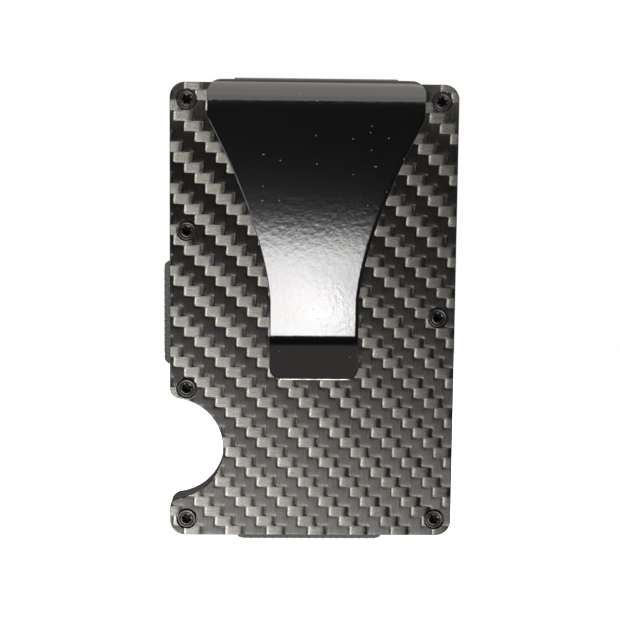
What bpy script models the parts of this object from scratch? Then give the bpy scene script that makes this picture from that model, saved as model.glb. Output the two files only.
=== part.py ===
"""Slim card holder of two carbon fibre plates with a spring steel money clip.

Lengths are metres, +Z is up and -Y is the front. The holder stands upright on the flat
underside of its lengthwise elastic, and the origin is the middle of that underside.
Each half is an outer carbon fibre plate screwed to an inner aluminium plate. Elastic
runs in channels between them and bridges the card gap at the top, the bottom and the
left, so the halves part to take cards. The clip's tongue is held behind the front
outer plate, and its arm comes over the top edge and presses on the front.
"""

import math

import bmesh
import bpy
from mathutils import Matrix

MM = 0.001

# Plates
PLATE_WIDTH = 54.0 * MM
PLATE_HEIGHT = 86.0 * MM
PLATE_CORNER_R = 2.85 * MM
OUTER_THICKNESS = 1.2 * MM
INNER_THICKNESS = 1.3 * MM
RIM_BEVEL = 0.2 * MM
CARD_GAP = 0.3 * MM
FACE_GAP = 0.05 * MM

# Thumb notch in the left edge
NOTCH_R = 9.6 * MM
NOTCH_INSET = 0.5 * MM
NOTCH_ABOVE_BOTTOM = 16.9 * MM
NOTCH_FILLET_R = 2.1 * MM

# Screws, with a six-lobed socket
HEAD_R = 1.75 * MM
HEAD_THICKNESS = 0.7 * MM
HEAD_CHAMFER = 0.12 * MM
HEAD_SUNK = 0.05 * MM
SHANK_R = 1.0 * MM
SHANK_POINT = 0.12 * MM
SHANK_STOPS_SHORT = 0.1 * MM
SOCKET_R = 0.78 * MM
SOCKET_LOBE = 0.12 * MM
SOCKET_DEPTH = 0.45 * MM
SOCKET_POINTS = 24
COUNTERBORE_CLEARANCE = 0.2 * MM
HEAD_SEAT_CLEARANCE = 0.05 * MM
SHANK_CLEARANCE = 0.15 * MM
THREAD_CLEARANCE = 0.06 * MM
SCREW_INSET = 3.2 * MM
NOTCH_SCREW_WALL = 0.37 * MM
RIGHT_SCREW_BELOW_MIDDLE = 0.7 * MM
SIDE_BAND_SCREW_ABOVE = 5.6 * MM
SIDE_BAND_SCREW_BELOW = 4.2 * MM

# Elastic
BAND_THICKNESS = 0.8 * MM
BAND_CLEARANCE = 0.05 * MM
CHANNEL_SIDE_CLEARANCE = 0.3 * MM
LONG_BAND_WIDTH = 28.4 * MM
LONG_BAND_X = -0.25 * MM
SIDE_BAND_WIDTH = 20.1 * MM
SIDE_BAND_HEAD_WIDTH = 23.0 * MM
SIDE_BAND_HEAD_LENGTH = 2.0 * MM
CHANNEL_WALL = 1.75 * MM
BRIDGE_THICKNESS = 1.1 * MM
TOP_BRIDGE_THICKNESS = 0.65 * MM
BRIDGE_GAP = 0.1 * MM
BRIDGE_ROUNDING = 0.3 * MM
BRIDGE_END_SLOPE = 1.1 * MM

# Clip
CLIP_THICKNESS = 0.55 * MM
CLIP_X = 0.25 * MM
CLIP_SEAT_CLEARANCE = 0.05 * MM
TONGUE_LENGTH = 11.5 * MM
NECK_WIDTH = 30.6 * MM
NECK_RISE = 0.85 * MM
NECK_BEND_R = 0.55 * MM
FRONT_BEND_R = 3.9 * MM
ARM_LENGTH = 43.5 * MM
ARM_BOW = math.radians(3.5)
KICK_R = 6.0 * MM
LIP_LENGTH = 5.8 * MM
LIP_FLARE = math.radians(25.0)
CLIP_CONTACT_GAP = 0.1 * MM
HEAD_WIDTH = 40.2 * MM
HEAD_CORNER_R = 2.3 * MM
SHOULDER_RISE = 0.26 * MM
SHOULDER_STEP = 0.5 * MM
TAPER_START = 6.7 * MM
TAPER_END = 41.0 * MM
TAPER_POWER = 1.56
TIP_WIDTH = 16.8 * MM
TIP_CORNER_R = 2.3 * MM
SPLIT_ANGLE = math.radians(66.0)
SPLIT_GAP = 0.1 * MM

# Making
CUT_MARGIN = 2.0 * MM
HOLE_OVERLAP = 0.5 * MM
FRONT_VIEW_REACH = 12.0 * MM
EMPTY_SIZE = 5.0 * MM
WELD = 0.001 * MM
ROUND_SEGMENTS = 20
CORNER_STEPS = 6
NOTCH_STEPS = 28
TAPER_STEPS = 14
BEND_STEPS = 8

# Places that follow from the sizes above
PLATE_BOTTOM = BRIDGE_THICKNESS + BRIDGE_GAP
PLATE_TOP = PLATE_BOTTOM + PLATE_HEIGHT
PLATE_MIDDLE = (PLATE_BOTTOM + PLATE_TOP) / 2
LEFT_EDGE = -PLATE_WIDTH / 2
RIGHT_EDGE = PLATE_WIDTH / 2
INNER_FACE = CARD_GAP / 2
INNER_OUTSIDE = INNER_FACE + INNER_THICKNESS
OUTER_BACK = INNER_OUTSIDE + FACE_GAP
OUTER_FACE = OUTER_BACK + OUTER_THICKNESS
COUNTERBORE_R = HEAD_R + COUNTERBORE_CLEARANCE
COUNTERBORE_DEPTH = HEAD_SUNK + HEAD_THICKNESS + HEAD_SEAT_CLEARANCE
NOTCH_X = LEFT_EDGE + NOTCH_INSET
NOTCH_Z = PLATE_BOTTOM + NOTCH_ABOVE_BOTTOM
CHANNEL_DEPTH = BAND_THICKNESS + 2 * BAND_CLEARANCE


def arc(centre_x, centre_z, radius, start, end, steps):
    """Points on a circle from one angle in degrees to another."""
    points = []
    for i in range(steps + 1):
        angle = math.radians(start + (end - start) * i / steps)
        points.append((centre_x + radius * math.cos(angle), centre_z + radius * math.sin(angle)))
    return points


def screw_places():
    """Name and place of each screw on the plate, seen from the front."""
    left = LEFT_EDGE + SCREW_INSET
    right = RIGHT_EDGE - SCREW_INSET
    high = PLATE_TOP - SCREW_INSET
    low = PLATE_BOTTOM + SCREW_INSET
    reach = NOTCH_R + COUNTERBORE_R + NOTCH_SCREW_WALL
    above_notch = NOTCH_Z + math.sqrt(reach ** 2 - (left - NOTCH_X) ** 2)
    above_band = above_notch + SIDE_BAND_SCREW_BELOW + SIDE_BAND_WIDTH + SIDE_BAND_SCREW_ABOVE
    return {
        "top_left": (left, high),
        "top_right": (right, high),
        "upper_left": (left, above_band),
        "middle_right": (right, PLATE_MIDDLE - RIGHT_SCREW_BELOW_MIDDLE),
        "lower_left": (left, above_notch),
        "bottom_left": (left, low),
        "bottom_right": (right, low),
    }


def side_band_middle():
    """Height of the side elastic's middle, set above the screw over the notch."""
    return screw_places()["lower_left"][1] + SIDE_BAND_SCREW_BELOW + SIDE_BAND_WIDTH / 2


def plate_outline():
    """Rectangle with round corners and the filleted thumb notch, anticlockwise."""
    r = PLATE_CORNER_R
    fillet_x = LEFT_EDGE + NOTCH_FILLET_R
    reach = NOTCH_R + NOTCH_FILLET_R
    fillet_rise = math.sqrt(reach ** 2 - (fillet_x - NOTCH_X) ** 2)
    lean = math.degrees(math.atan2(fillet_rise, fillet_x - NOTCH_X))
    corner = CORNER_STEPS
    points = arc(RIGHT_EDGE - r, PLATE_BOTTOM + r, r, -90, 0, corner)
    points += arc(RIGHT_EDGE - r, PLATE_TOP - r, r, 0, 90, corner)
    points += arc(LEFT_EDGE + r, PLATE_TOP - r, r, 90, 180, corner)
    points += arc(fillet_x, NOTCH_Z + fillet_rise, NOTCH_FILLET_R, 180, 180 + lean, corner)
    points += arc(NOTCH_X, NOTCH_Z, NOTCH_R, lean, -lean, NOTCH_STEPS)[1:-1]
    points += arc(fillet_x, NOTCH_Z - fillet_rise, NOTCH_FILLET_R, 180 - lean, 180, corner)
    points += arc(LEFT_EDGE + r, PLATE_BOTTOM + r, r, 180, 270, corner)
    return points


def box_outline(x_low, x_high, z_low, z_high):
    return [(x_low, z_low), (x_high, z_low), (x_high, z_high), (x_low, z_high)]


def collection(name):
    group = bpy.data.collections.new(name)
    bpy.context.scene.collection.children.link(group)
    return group


def finish_material(name, colour, roughness, metallic=0.0):
    material = bpy.data.materials.new(name)
    material.use_nodes = True
    shader = material.node_tree.nodes["Principled BSDF"]
    shader.inputs["Base Color"].default_value = (*colour, 1.0)
    shader.inputs["Roughness"].default_value = roughness
    shader.inputs["Metallic"].default_value = metallic
    return material


def outline_curve(name, points, half_thickness):
    """A filled flat curve, thickened both ways from its own plane."""
    curve = bpy.data.curves.new(name, "CURVE")
    curve.dimensions = "2D"
    curve.fill_mode = "BOTH"
    curve.extrude = half_thickness
    spline = curve.splines.new("POLY")
    spline.points.add(len(points) - 1)
    for point, (u, v) in zip(spline.points, points):
        point.co = (u, v, 0.0, 1.0)
    spline.use_cyclic_u = True
    return bpy.data.objects.new(name, curve)


def curve_as_mesh(source, name, group):
    """Turns a placed curve into a mesh whose caps are welded to its sides."""
    group.objects.link(source)
    bpy.context.view_layer.update()
    evaluated = source.evaluated_get(bpy.context.evaluated_depsgraph_get())
    mesh = bpy.data.meshes.new_from_object(evaluated)
    place = source.matrix_world.copy()
    bpy.data.objects.remove(source)
    welded = bmesh.new()
    welded.from_mesh(mesh)
    bmesh.ops.remove_doubles(welded, verts=welded.verts, dist=WELD)
    bmesh.ops.recalc_face_normals(welded, faces=welded.faces)
    welded.to_mesh(mesh)
    welded.free()
    piece = bpy.data.objects.new(name, mesh)
    piece.matrix_world = place
    group.objects.link(piece)
    return piece


def facing_slab(name, points, y_a, y_b, group):
    """A front-view outline in X and Z, thick from y_a to y_b."""
    source = outline_curve(name + "_outline", points, abs(y_b - y_a) / 2)
    source.location = (0.0, (y_a + y_b) / 2, 0.0)
    source.rotation_euler = (math.radians(90), 0.0, 0.0)
    return curve_as_mesh(source, name, group)


def section_slab(name, points, x_middle, width, group):
    """A side-view section in Y and Z, as wide as the given width along X."""
    source = outline_curve(name + "_section", points, width / 2)
    source.location = (x_middle, 0.0, 0.0)
    source.rotation_euler = (math.radians(90), 0.0, math.radians(90))
    return curve_as_mesh(source, name, group)


def bore_cutter(name, radius, y_a, y_b, group):
    """One round cutter along Y at every screw."""
    cutter = bmesh.new()
    for x, z in screw_places().values():
        place = Matrix.Translation((x, (y_a + y_b) / 2, z)) @ Matrix.Rotation(math.pi / 2, 4, "X")
        bmesh.ops.create_cone(cutter, cap_ends=True, segments=ROUND_SEGMENTS, radius1=radius,
                              radius2=radius, depth=abs(y_b - y_a), matrix=place)
    mesh = bpy.data.meshes.new(name)
    cutter.to_mesh(mesh)
    cutter.free()
    piece = bpy.data.objects.new(name, mesh)
    group.objects.link(piece)
    return piece


def hide_cutter(cutter):
    cutter.hide_render = True
    cutter.display_type = "WIRE"


def apply_cut(piece, cutter, operation="DIFFERENCE"):
    modifier = piece.modifiers.new(cutter.name, "BOOLEAN")
    modifier.operation = operation
    modifier.solver = "EXACT"
    modifier.object = cutter
    hide_cutter(cutter)


def round_edges(piece, width, segments):
    modifier = piece.modifiers.new("rounded_edges", "BEVEL")
    modifier.width = width
    modifier.segments = segments
    modifier.limit_method = "ANGLE"
    modifier.angle_limit = math.radians(40)


def shade_round(piece):
    piece.data.shade_smooth()
    piece.data.set_sharp_from_angle(angle=math.radians(35))


def outer_plate(side, y_sign, material, parts, cutters):
    """Carbon fibre plate with a counterbored hole for each screw."""
    name = side + "_outer_plate"
    plate = facing_slab(name, plate_outline(), y_sign * OUTER_BACK, y_sign * OUTER_FACE, parts)
    round_edges(plate, RIM_BEVEL, 1)
    floor = OUTER_FACE - COUNTERBORE_DEPTH
    apply_cut(plate, bore_cutter(side + "_counterbores", COUNTERBORE_R, y_sign * floor,
                                 y_sign * (OUTER_FACE + CUT_MARGIN), cutters))
    apply_cut(plate, bore_cutter(side + "_clearance_holes", SHANK_R + SHANK_CLEARANCE,
                                 y_sign * (OUTER_BACK - CUT_MARGIN),
                                 y_sign * (floor + HOLE_OVERLAP), cutters))
    plate.data.materials.append(material)
    shade_round(plate)
    return plate


def tongue_pocket(plate, cutters):
    """Pocket behind the front outer plate, open at the top, for the clip's tongue."""
    half = NECK_WIDTH / 2 + CHANNEL_SIDE_CLEARANCE
    depth = CLIP_THICKNESS + CLIP_SEAT_CLEARANCE
    outline = box_outline(CLIP_X - half, CLIP_X + half,
                          PLATE_TOP - TONGUE_LENGTH - CHANNEL_SIDE_CLEARANCE,
                          PLATE_TOP + CUT_MARGIN)
    pocket = facing_slab("tongue_pocket", outline, -(OUTER_BACK - CUT_MARGIN),
                         -(OUTER_BACK + depth), cutters)
    apply_cut(plate, pocket)


def side_run_outline(spare):
    """The side elastic's run: a strip from the left edge with a wider sewn end."""
    middle = side_band_middle()
    end = LONG_BAND_X - LONG_BAND_WIDTH / 2 - CHANNEL_SIDE_CLEARANCE - CHANNEL_WALL + spare
    neck = end - SIDE_BAND_HEAD_LENGTH - 2 * spare
    start = LEFT_EDGE - (CUT_MARGIN if spare else 0.0)
    half = SIDE_BAND_WIDTH / 2 + spare
    wide = SIDE_BAND_HEAD_WIDTH / 2 + spare
    return [(start, middle - half), (neck, middle - half), (neck, middle - wide),
            (end, middle - wide), (end, middle + wide), (neck, middle + wide),
            (neck, middle + half), (start, middle + half)]


def long_run_outline(spare):
    """The lengthwise elastic's run, from the plate's bottom edge to its top edge."""
    half = LONG_BAND_WIDTH / 2 + spare
    past = CUT_MARGIN if spare else 0.0
    return box_outline(LONG_BAND_X - half, LONG_BAND_X + half, PLATE_BOTTOM - past,
                       PLATE_TOP + past)


def inner_plate(side, y_sign, material, parts, cutters):
    """Aluminium plate with a channel for each elastic and a hole for each screw."""
    name = side + "_inner_plate"
    plate = facing_slab(name, plate_outline(), y_sign * INNER_FACE, y_sign * INNER_OUTSIDE, parts)
    round_edges(plate, RIM_BEVEL, 1)
    apply_cut(plate, bore_cutter(side + "_thread_holes", SHANK_R + THREAD_CLEARANCE,
                                 y_sign * (INNER_FACE - CUT_MARGIN),
                                 y_sign * (INNER_OUTSIDE + CUT_MARGIN), cutters))
    floor = y_sign * (INNER_OUTSIDE - CHANNEL_DEPTH)
    mouth = y_sign * (INNER_OUTSIDE + CUT_MARGIN)
    for label, outline in (("long", long_run_outline(CHANNEL_SIDE_CLEARANCE)),
                           ("side", side_run_outline(CHANNEL_SIDE_CLEARANCE))):
        apply_cut(plate, facing_slab(f"{side}_{label}_channel", outline, floor, mouth, cutters))
    plate.data.materials.append(material)
    shade_round(plate)
    return plate


def elastic_runs(side, y_sign, material, parts):
    """The stretches of both elastics that lie in one inner plate's channels."""
    near = y_sign * (INNER_OUTSIDE - BAND_CLEARANCE)
    far = y_sign * (INNER_OUTSIDE - BAND_CLEARANCE - BAND_THICKNESS)
    runs = []
    for label, outline in (("lengthwise", long_run_outline(0.0)), ("side", side_run_outline(0.0))):
        run = facing_slab(f"{label}_elastic_{side}", outline, near, far, parts)
        run.data.materials.append(material)
        runs.append(run)
    return runs


def elastic_bridge(name, outline, material, parts):
    """A stretch of elastic that crosses the card gap, over the inner plates' edges."""
    bridge = facing_slab(name, outline, -INNER_OUTSIDE, INNER_OUTSIDE, parts)
    round_edges(bridge, BRIDGE_ROUNDING, 2)
    bridge.data.materials.append(material)
    shade_round(bridge)
    return bridge


def elastic_bridges(material, parts):
    """Bridges at the bottom, the top and the left, with sloping ends."""
    slope = BRIDGE_END_SLOPE
    low = LONG_BAND_X - LONG_BAND_WIDTH / 2
    high = LONG_BAND_X + LONG_BAND_WIDTH / 2
    near = PLATE_BOTTOM - BRIDGE_GAP
    elastic_bridge("lengthwise_elastic_bottom",
                   [(low, near), (low + slope, near - BRIDGE_THICKNESS),
                    (high - slope, near - BRIDGE_THICKNESS), (high, near)], material, parts)
    near = PLATE_TOP + BRIDGE_GAP
    elastic_bridge("lengthwise_elastic_top",
                   [(high, near), (high - slope, near + TOP_BRIDGE_THICKNESS),
                    (low + slope, near + TOP_BRIDGE_THICKNESS), (low, near)], material, parts)
    near = LEFT_EDGE - BRIDGE_GAP
    low = side_band_middle() - SIDE_BAND_WIDTH / 2
    high = side_band_middle() + SIDE_BAND_WIDTH / 2
    elastic_bridge("side_elastic_bridge",
                   [(near, high), (near - BRIDGE_THICKNESS, high - slope),
                    (near - BRIDGE_THICKNESS, low + slope), (near, low)], material, parts)


def screw_profile():
    """Half section of a screw from its top at the axis round to its point."""
    shank = HEAD_SEAT_CLEARANCE + (OUTER_FACE - COUNTERBORE_DEPTH) - INNER_FACE
    point = HEAD_THICKNESS + shank - SHANK_STOPS_SHORT
    return [(0.0, 0.0), (HEAD_R - HEAD_CHAMFER, 0.0), (HEAD_R, -HEAD_CHAMFER),
            (HEAD_R, -HEAD_THICKNESS), (SHANK_R, -HEAD_THICKNESS),
            (SHANK_R, -point + SHANK_POINT), (SHANK_R - SHANK_POINT, -point), (0.0, -point)]


def socket_outline():
    """Six lobes: a circle whose radius rises and falls six times in a turn."""
    points = []
    for i in range(SOCKET_POINTS):
        angle = 2 * math.pi * i / SOCKET_POINTS
        radius = SOCKET_R + SOCKET_LOBE * math.cos(6 * angle)
        points.append((radius * math.cos(angle), radius * math.sin(angle)))
    return points


def screws(side, y_sign, material, parts, cutters):
    """Low-headed screws, turned from one profile, with the socket cut in the head."""
    profile = screw_profile()
    mesh = bpy.data.meshes.new(side + "_screw_profile")
    edges = [(i, i + 1) for i in range(len(profile) - 1)]
    mesh.from_pydata([(r, 0.0, h) for r, h in profile], edges, [])
    mesh.materials.append(material)
    made = []
    for place, (x, z) in screw_places().items():
        screw = bpy.data.objects.new(f"{side}_screw_{place}", mesh)
        screw.location = (x, y_sign * (OUTER_FACE - HEAD_SUNK), z)
        screw.rotation_euler = (-y_sign * math.radians(90), 0.0, 0.0)
        parts.objects.link(screw)
        turn = screw.modifiers.new("turned", "SCREW")
        turn.steps = ROUND_SEGMENTS
        turn.render_steps = ROUND_SEGMENTS
        turn.use_merge_vertices = True
        turn.merge_threshold = WELD
        socket = outline_curve(f"{side}_socket_{place}", socket_outline(), SOCKET_DEPTH)
        socket.location = screw.location
        socket.rotation_euler = screw.rotation_euler
        apply_cut(screw, curve_as_mesh(socket, f"{side}_socket_{place}", cutters))
        made.append(screw)
    return made


def clip_bend_end(lean):
    """Where the front bend hands over to the arm, for an arm leaning by this angle."""
    centre_y, centre_z = front_bend_centre()
    return (centre_y - FRONT_BEND_R * math.cos(lean), centre_z - FRONT_BEND_R * math.sin(lean))


def front_bend_centre():
    neck_y = -(OUTER_BACK + CLIP_THICKNESS / 2) - NECK_BEND_R
    return neck_y, PLATE_TOP + NECK_RISE - CLIP_THICKNESS / 2 - FRONT_BEND_R


def clip_turn(start, heading, radius, turn, steps):
    """Points and headings along an arc; a heading is an angle in the Y and Z plane."""
    side = 1.0 if turn > 0 else -1.0
    centre_y = start[0] - side * radius * math.sin(heading)
    centre_z = start[1] + side * radius * math.cos(heading)
    points = []
    for i in range(steps + 1):
        now = heading + turn * i / steps
        points.append((centre_y + side * radius * math.sin(now),
                       centre_z - side * radius * math.cos(now), now))
    return points


def arm_path(lean):
    """Centre line of the arm, the kick and the flared lip, from the front bend down."""
    start = clip_bend_end(lean)
    path = clip_turn(start, lean - math.pi / 2, ARM_LENGTH / ARM_BOW, ARM_BOW, BEND_STEPS)
    y, z, heading = path[-1]
    path += clip_turn((y, z), heading, KICK_R, -(lean + ARM_BOW + LIP_FLARE),
                      BEND_STEPS)[1:]
    y, z, heading = path[-1]
    path.append((y + LIP_LENGTH * math.cos(heading), z + LIP_LENGTH * math.sin(heading), heading))
    return path


def arm_lean():
    """Lean at which the kick just clears the front plate, found by halving."""
    target = -(OUTER_FACE + CLIP_CONTACT_GAP + CLIP_THICKNESS / 2)
    low, high = math.radians(-10), math.radians(25)
    for _ in range(40):
        lean = (low + high) / 2
        if max(y for y, z, heading in arm_path(lean)) > target:
            high = lean
        else:
            low = lean
    return lean


def thicken(path):
    """Closed section of a strip: the centre line moved half a thickness each way."""
    half = CLIP_THICKNESS / 2
    right = [(y + half * math.sin(a), z - half * math.cos(a)) for y, z, a in path]
    left = [(y - half * math.sin(a), z + half * math.cos(a)) for y, z, a in path]
    return right + left[::-1]


def front_bend(start_angle, end_angle, steps):
    """The front bend's centre line between two angles above the horizontal."""
    centre_y, centre_z = front_bend_centre()
    path = []
    for i in range(steps + 1):
        angle = start_angle + (end_angle - start_angle) * i / steps
        path.append((centre_y - FRONT_BEND_R * math.cos(angle),
                     centre_z + FRONT_BEND_R * math.sin(angle), -math.pi / 2 - angle))
    return path


def clip_neck(material, parts):
    """Tongue behind the outer plate and the bend that carries it over the top edge."""
    tongue_y = -(OUTER_BACK + CLIP_THICKNESS / 2)
    bend_z = PLATE_TOP + NECK_RISE - CLIP_THICKNESS / 2 - NECK_BEND_R
    path = [(tongue_y, PLATE_TOP - TONGUE_LENGTH, math.pi / 2)]
    path += clip_turn((tongue_y, bend_z), math.pi / 2, NECK_BEND_R, math.pi / 2,
                      BEND_STEPS)
    path += [(y, z, a + 2 * math.pi) for y, z, a in front_bend(math.pi / 2, SPLIT_ANGLE, 3)][1:]
    neck = section_slab("clip_neck", thicken(path), CLIP_X, NECK_WIDTH, parts)
    neck.data.materials.append(material)
    shade_round(neck)
    return neck


def taper_half_width(drop):
    """Half width of the arm at a depth below the plate's top edge."""
    share = (drop - TAPER_START) / (TAPER_END - TAPER_START)
    share = min(max(share, 0.0), 1.0)
    return TIP_WIDTH / 2 + (HEAD_WIDTH - TIP_WIDTH) / 2 * (1.0 - share) ** TAPER_POWER


def arm_outline(tip_z):
    """Front view of the arm: neck, shoulders, round-cornered head, taper and tip."""
    neck = NECK_WIDTH / 2
    shoulder = PLATE_TOP + SHOULDER_RISE
    head = HEAD_WIDTH / 2
    right = [(neck - SHOULDER_STEP, PLATE_TOP + CUT_MARGIN),
             (neck - SHOULDER_STEP, shoulder + SHOULDER_STEP), (neck, shoulder)]
    right += arc(head - HEAD_CORNER_R, shoulder - HEAD_CORNER_R, HEAD_CORNER_R, 90, 0,
                 CORNER_STEPS)
    for i in range(TAPER_STEPS + 1):
        drop = TAPER_START + (TAPER_END - TAPER_START) * i / TAPER_STEPS
        right.append((taper_half_width(drop), PLATE_TOP - drop))
    right += arc(TIP_WIDTH / 2 - TIP_CORNER_R, tip_z + TIP_CORNER_R, TIP_CORNER_R, 0, -90,
                 CORNER_STEPS)
    left = [(-x, z) for x, z in reversed(right)]
    return [(CLIP_X + x, z) for x, z in right + left]


def clip_arm(material, parts, cutters):
    """Rest of the front bend, the tapering arm, the kick and the flared lip."""
    lean = arm_lean()
    start = SPLIT_ANGLE - SPLIT_GAP / FRONT_BEND_R
    path = front_bend(start, -lean, BEND_STEPS + 1)
    path += arm_path(lean)[1:]
    arm = section_slab("clip_arm", thicken(path), CLIP_X, HEAD_WIDTH + 2 * CUT_MARGIN, parts)
    tip_z = min(z for y, z in thicken(path))
    outline = facing_slab("clip_arm_front_view", arm_outline(tip_z),
                          -OUTER_FACE - FRONT_VIEW_REACH, -OUTER_BACK, cutters)
    apply_cut(arm, outline, "INTERSECT")
    arm.data.materials.append(material)
    shade_round(arm)
    return arm


def carry(name, place, pieces, group):
    """Hangs moving pieces from an empty that stands on their joint's axis."""
    empty = bpy.data.objects.new(name, None)
    empty.empty_display_size = EMPTY_SIZE
    empty.location = place
    group.objects.link(empty)
    bpy.context.view_layer.update()
    for piece in pieces:
        piece.parent = empty
        piece.matrix_parent_inverse = empty.matrix_world.inverted()


def clip_hinge_place():
    """Outer skin of the front bend at the split, where the arm's spring bends."""
    centre_y, centre_z = front_bend_centre()
    radius = FRONT_BEND_R + CLIP_THICKNESS / 2
    return (CLIP_X, centre_y - radius * math.cos(SPLIT_ANGLE),
            centre_z + radius * math.sin(SPLIT_ANGLE))


def build():
    for old in list(bpy.data.objects):
        bpy.data.objects.remove(old)
    parts = collection("money_clip_card_holder")
    cutters = collection("cutters")
    carbon = finish_material("woven_carbon_fibre", (0.045, 0.042, 0.04), 0.35)
    anodised = finish_material("black_anodised_aluminium", (0.02, 0.02, 0.022), 0.4, 0.6)
    coated = finish_material("black_coated_spring_steel", (0.012, 0.011, 0.01), 0.12, 0.3)
    oxide = finish_material("black_oxide_steel", (0.03, 0.03, 0.032), 0.35, 0.8)
    elastic = finish_material("black_woven_elastic", (0.015, 0.015, 0.016), 0.85)

    moving = []
    for side, y_sign in (("front", -1.0), ("back", 1.0)):
        made = [outer_plate(side, y_sign, carbon, parts, cutters),
                inner_plate(side, y_sign, anodised, parts, cutters)]
        made += elastic_runs(side, y_sign, elastic, parts)
        made += screws(side, y_sign, oxide, parts, cutters)
        if side == "front":
            tongue_pocket(made[0], cutters)
        else:
            moving = made
    elastic_bridges(elastic, parts)
    clip_neck(coated, parts)
    arm = clip_arm(coated, parts, cutters)
    carry("back_half_slide", (0.0, 0.0, PLATE_MIDDLE), moving, parts)
    carry("clip_hinge", clip_hinge_place(), [arm], parts)


build()
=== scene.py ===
import math

import bmesh
import bpy
import numpy as np
from mathutils import Matrix, Vector


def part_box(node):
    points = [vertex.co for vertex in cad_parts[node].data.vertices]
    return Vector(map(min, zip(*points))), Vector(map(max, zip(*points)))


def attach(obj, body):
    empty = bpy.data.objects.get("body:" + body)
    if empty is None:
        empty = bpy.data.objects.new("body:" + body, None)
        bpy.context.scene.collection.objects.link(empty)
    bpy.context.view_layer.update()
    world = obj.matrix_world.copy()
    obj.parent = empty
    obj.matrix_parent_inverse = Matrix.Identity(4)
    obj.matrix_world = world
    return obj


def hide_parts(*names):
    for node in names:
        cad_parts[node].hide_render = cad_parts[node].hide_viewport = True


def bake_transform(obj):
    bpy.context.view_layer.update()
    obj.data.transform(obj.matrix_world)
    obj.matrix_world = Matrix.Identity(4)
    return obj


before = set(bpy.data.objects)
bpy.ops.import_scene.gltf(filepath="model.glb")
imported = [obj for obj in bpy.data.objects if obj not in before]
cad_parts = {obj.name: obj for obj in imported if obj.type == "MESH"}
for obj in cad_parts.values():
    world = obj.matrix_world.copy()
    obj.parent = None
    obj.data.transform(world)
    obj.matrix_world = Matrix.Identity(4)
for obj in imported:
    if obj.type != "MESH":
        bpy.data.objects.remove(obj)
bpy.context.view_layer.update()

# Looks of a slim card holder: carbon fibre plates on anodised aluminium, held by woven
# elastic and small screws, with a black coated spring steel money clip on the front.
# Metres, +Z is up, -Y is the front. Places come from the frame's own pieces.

MM = 0.001

# Places read from the frame. FACE and BACK are how far an outer plate's two faces stand
# from the middle, y = 0
PLATE_LOW, PLATE_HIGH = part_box("front_outer_plate")
LEFT, RIGHT = PLATE_LOW.x, PLATE_HIGH.x
BOTTOM, TOP = PLATE_LOW.z, PLATE_HIGH.z
MIDDLE_Z = (BOTTOM + TOP) / 2
FACE = -PLATE_LOW.y
BACK = -PLATE_HIGH.y

# Plate outline, which the frame's box doesn't give
CORNER_R = 2.85 * MM
RIM_R = 0.2 * MM
NOTCH_R = 9.6 * MM
NOTCH_INSET = 0.5 * MM
NOTCH_ABOVE_BOTTOM = 16.9 * MM
NOTCH_FILLET_R = 2.1 * MM

# Weave of the outer plates: 2/2 twill. Widths, lengths and reaches without MM are in
# pitches or in half patches, and dives are shares of the relief
COLUMN_PITCH = 1.988 * MM
ROW_PITCH = 1.925 * MM
WEAVE_STEPS = (0.0, 0.07, 0.2, 0.35, 0.5, 0.65, 0.8, 0.93)
WEAVE_RELIEF = 0.085 * MM
WEAVE_MARGIN = 0.5 * MM
WEFT_HALF_LENGTH = 0.9
WEFT_HALF_WIDTH = 0.505
WEFT_LEAN = 0.09
PATCH_POWER = 7
PATCH_REACH = 1.1
WEFT_DIVE_RIGHT = 0.85
WEFT_DIVE_LEFT = 0.6
WEFT_DIVE_SIDES = 0.2
WARP_LEVEL = 0.97
WARP_DIVE_BELOW = 0.45
WARP_DIVE_ABOVE = 0.28
WARP_DIVE_SIDES = 0.12
PATCH_EDGE = 0.3
# Painted highlight at the tows' ends (lips) and painted shade past a cross tow's right end: where
# they start and how wide they ease in
WEFT_LIP_FROM = 0.78
WARP_LIP_FROM = 0.76
LIP_WIDTH = 0.12
WARP_LIP_HIGHLIGHT = 0.6
END_SHADE_FROM = 0.45
END_SHADE_WIDTH = 0.3
WEAVE_SHIFT_X = 2.48 * MM
WEAVE_SHIFT_Z = -0.5 * MM
PLATE_PROUD = 0.004 * MM

# Screws and their holes
HEAD_R = 1.75 * MM
HEAD_THICKNESS = 0.7 * MM
HEAD_EDGE_R = 0.14 * MM
HEAD_GROOVE_R = 1.22 * MM
HEAD_GROOVE = 0.06 * MM
SOCKET_R = 0.8 * MM
SOCKET_LOBE = 0.12 * MM
SOCKET_LOBES = 6
SOCKET_DEPTH = 0.45 * MM
SOCKET_TURN = 0.35
SHANK_R = 1.0 * MM
THREAD_PITCH = 0.4 * MM
THREAD_DEPTH = 0.12 * MM
COUNTERBORE_R = 1.95 * MM
COUNTERBORE_DEPTH = 0.8 * MM
COUNTERBORE_LIP = 0.06 * MM
CLEARANCE_R = 1.15 * MM
SCREW_NAMES = ("top_left", "top_right", "upper_left", "middle_right", "lower_left",
               "bottom_left", "bottom_right")

# Clip
CLIP_THICKNESS = 0.55 * MM
CLIP_X = 0.25 * MM
CLIP_EDGE_R = 0.22 * MM
TONGUE_LENGTH = 11.5 * MM
TONGUE_CLEARANCE = 0.3 * MM
SEAT_CLEARANCE = 0.05 * MM
NECK_HALF_WIDTH = 15.3 * MM
NECK_RISE = 0.85 * MM
NECK_BEND_R = 0.55 * MM
FRONT_BEND_R = 3.9 * MM
ARM_LENGTH = 43.5 * MM
ARM_BOW = math.radians(3.5)
KICK_R = 6.0 * MM
LIP_LENGTH = 5.8 * MM
LIP_FLARE = math.radians(25)
CLIP_CONTACT_GAP = 0.1 * MM
HEAD_HALF_WIDTH = 20.1 * MM
HEAD_CORNER_R = 2.3 * MM
SHOULDER_RISE = 0.26 * MM
SHOULDER_STEP = 0.5 * MM
TAPER_START = 6.7 * MM
TAPER_END = 41.0 * MM
TAPER_POWER = 1.56
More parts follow.
